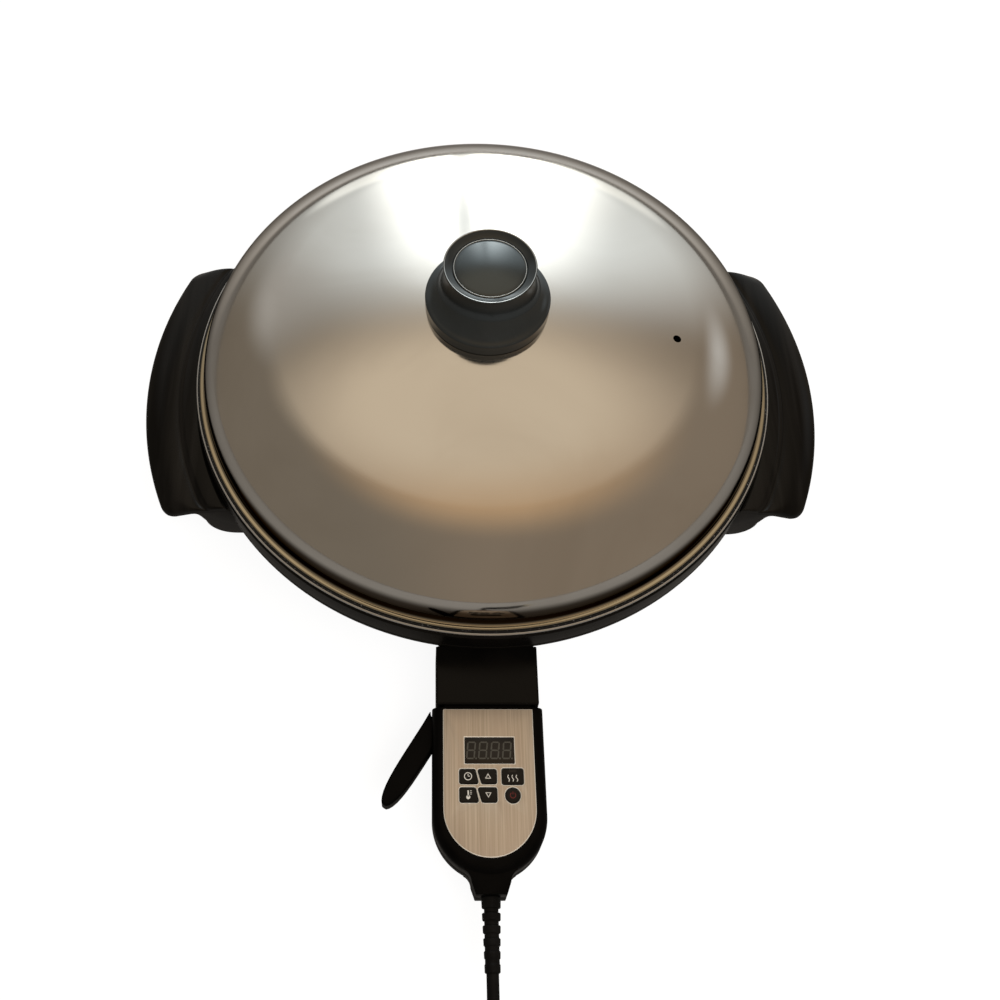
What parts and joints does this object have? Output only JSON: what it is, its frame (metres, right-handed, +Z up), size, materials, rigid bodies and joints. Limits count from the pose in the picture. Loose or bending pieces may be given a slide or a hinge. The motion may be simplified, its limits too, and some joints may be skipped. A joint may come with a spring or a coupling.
{
  "type": "electric injera maker",
  "caption": "Round electric griddle for flat bread: domed metal lid with a knob, low base with wing handles, and a plug-in digital control probe with a mains lead.",
  "frame": {"origin": "on the plate's axis, on the surface that the feet stand on", "axes": "+Z up, -Y towards the control probe and the user, +X to the user's right"},
  "size_m": [0.495, 0.7884, 0.2007],
  "materials": {
    "black_resin": "satin moulded phenolic resin",
    "charcoal_resin": "glossy charcoal resin",
    "polished_steel": "polished stainless sheet",
    "coated_plate": "cast aluminium with a dark non-stick coat",
    "brushed_face": "fine brushed champagne metal",
    "black_case": "fine textured black plastic",
    "key_black": "black key caps with pale marks",
    "display_dark": "dark tinted window",
    "plain_metal": "plain zinc-plated steel",
    "bright_aluminium": "bare aluminium",
    "element_steel": "dull sheathed heating tube",
    "ceramic": "unglazed ceramic",
    "brass": "plain brass",
    "board_green": "solder-masked circuit board",
    "part_dark": "dark moulded component",
    "part_blue": "blue moulded component",
    "foot_rubber": "matt black rubber",
    "cord_black": "black flexible jacket"
  },
  "bodies": {
    "base": {"base_shell": "black_resin", "bottom_cover": "plain_metal", "cover_screws": "plain_metal", "rubber_feet": "foot_rubber", "foot_screws": "plain_metal", "left_handle": "black_resin", "right_handle": "black_resin", "handle_screws": "plain_metal", "cooking_plate": "coated_plate", "plate_bolts": "plain_metal", "heating_element": "element_steel", "element_clamps": "plain_metal", "heat_shield": "bright_aluminium", "shield_posts": "plain_metal", "terminal_block": "ceramic", "terminal_pins": "plain_metal", "sensor_well": "bright_aluminium", "socket_hood": "black_resin", "hood_screws": "plain_metal"},
    "lid": {"lid_dome": "polished_steel", "knob_body": "charcoal_resin", "knob_disc": "charcoal_resin", "knob_insert": "brass", "knob_screw": "plain_metal", "knob_washer": "plain_metal"},
    "probe": {"probe_upper_case": "black_case", "probe_lower_case": "black_case", "case_screws": "plain_metal", "probe_nose": "black_resin", "contact_sleeves": "brass", "sensor_rod": "plain_metal", "faceplate": "brushed_face", "display_window": "display_dark", "display_module": "part_dark", "circuit_board": "board_green", "board_screws": "plain_metal", "key_switches": "part_dark", "relay": "part_blue", "transformer": "part_dark", "wire_terminal": "board_green", "lead_wires": "part_blue", "lever_pin": "plain_metal", "lever_spring": "plain_metal", "strain_relief": "cord_black", "cord_run": "cord_black", "cord_coil": "cord_black", "cord_tie": "foot_rubber", "plug_body": "cord_black", "plug_blades": "brass", "plug_ground_pin": "brass"},
    "key_time": {"time_key": "key_black"},
    "key_up": {"up_key": "key_black"},
    "key_temperature": {"temperature_key": "key_black"},
    "key_down": {"down_key": "key_black"},
    "key_warm": {"warm_key": "key_black"},
    "key_power": {"power_key": "key_black"},
    "lever": {"release_lever": "black_case"}
  },
  "joints": [
    {"name": "lid_lift", "type": "slide", "parent": "base", "child": "lid", "axis": [0, 0, 1], "range_m": [0, 0.15]},
    {"name": "probe_pull", "type": "slide", "parent": "base", "child": "probe", "axis": [0, -1, 0], "range_m": [0, 0.12]},
    {"name": "lever_press", "type": "hinge", "parent": "probe", "child": "lever", "pos_m": [-0.029, -0.2475, 0.029], "axis": [0, 0, 1], "range_deg": [0, 15], "stiffness_Nm_per_rad": 0.06, "springref_deg": -6.88},
    {"name": "time_press", "type": "slide", "parent": "probe", "child": "key_time", "axis": [0, 0, -1], "range_m": [0, 0.0005], "stiffness_N_per_m": 900, "springref_m": -0.0006},
    {"name": "up_press", "type": "slide", "parent": "probe", "child": "key_up", "axis": [0, 0, -1], "range_m": [0, 0.0005], "stiffness_N_per_m": 900, "springref_m": -0.0006},
    {"name": "temperature_press", "type": "slide", "parent": "probe", "child": "key_temperature", "axis": [0, 0, -1], "range_m": [0, 0.0005], "stiffness_N_per_m": 900, "springref_m": -0.0006},
    {"name": "down_press", "type": "slide", "parent": "probe", "child": "key_down", "axis": [0, 0, -1], "range_m": [0, 0.0005], "stiffness_N_per_m": 900, "springref_m": -0.0006},
    {"name": "warm_press", "type": "slide", "parent": "probe", "child": "key_warm", "axis": [0, 0, -1], "range_m": [0, 0.0005], "stiffness_N_per_m": 900, "springref_m": -0.0006},
    {"name": "power_press", "type": "slide", "parent": "probe", "child": "key_power", "axis": [0, 0, -1], "range_m": [0, 0.0005], "stiffness_N_per_m": 900, "springref_m": -0.0006}
  ]
}
